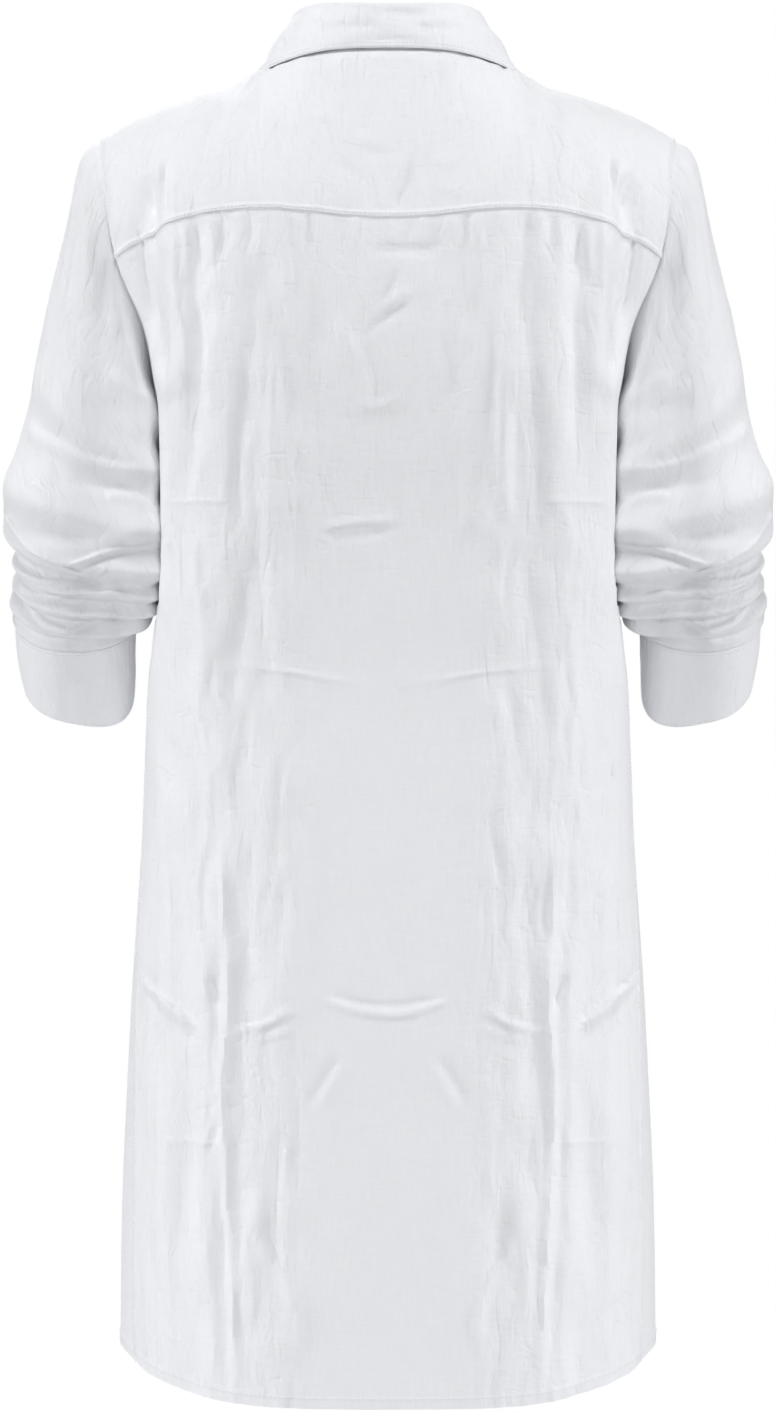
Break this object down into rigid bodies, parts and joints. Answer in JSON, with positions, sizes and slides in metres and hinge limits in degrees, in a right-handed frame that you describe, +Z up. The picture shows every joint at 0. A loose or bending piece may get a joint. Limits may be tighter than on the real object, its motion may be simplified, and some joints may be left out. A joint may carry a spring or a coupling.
{
  "type": "shirt dress",
  "caption": "Worn-form shirt dress: turned-down collar, back yoke, button front, long sleeves pushed up over the elbow, and a curved hem longer at the back.",
  "frame": {"origin": "on the middle line between the two shoulder seams at the neck, where the wearer's shoulders and neck hold the dress up", "axes": "+Z up, -Y the front of the dress, +X the wearer's left"},
  "size_m": [0.5636, 0.287, 1.0072],
  "materials": {
    "cloth": "crinkled cotton and linen, matte",
    "button": "pale resin, half gloss"
  },
  "bodies": {
    "root": {"yoke": "cloth", "back": "cloth", "front_left": "cloth", "front_right": "cloth", "button_band": "cloth", "sleeve_left": "cloth", "sleeve_right": "cloth", "cuff_left": "cloth", "cuff_right": "cloth", "collar_stand": "cloth", "collar_leaf": "cloth", "button_1": "button", "button_2": "button", "button_3": "button", "button_4": "button", "button_5": "button", "button_6": "button", "button_7": "button", "button_8": "button", "button_9": "button", "collar_button": "button", "cuff_button_left": "button", "cuff_button_right": "button"}
  },
  "joints": []
}
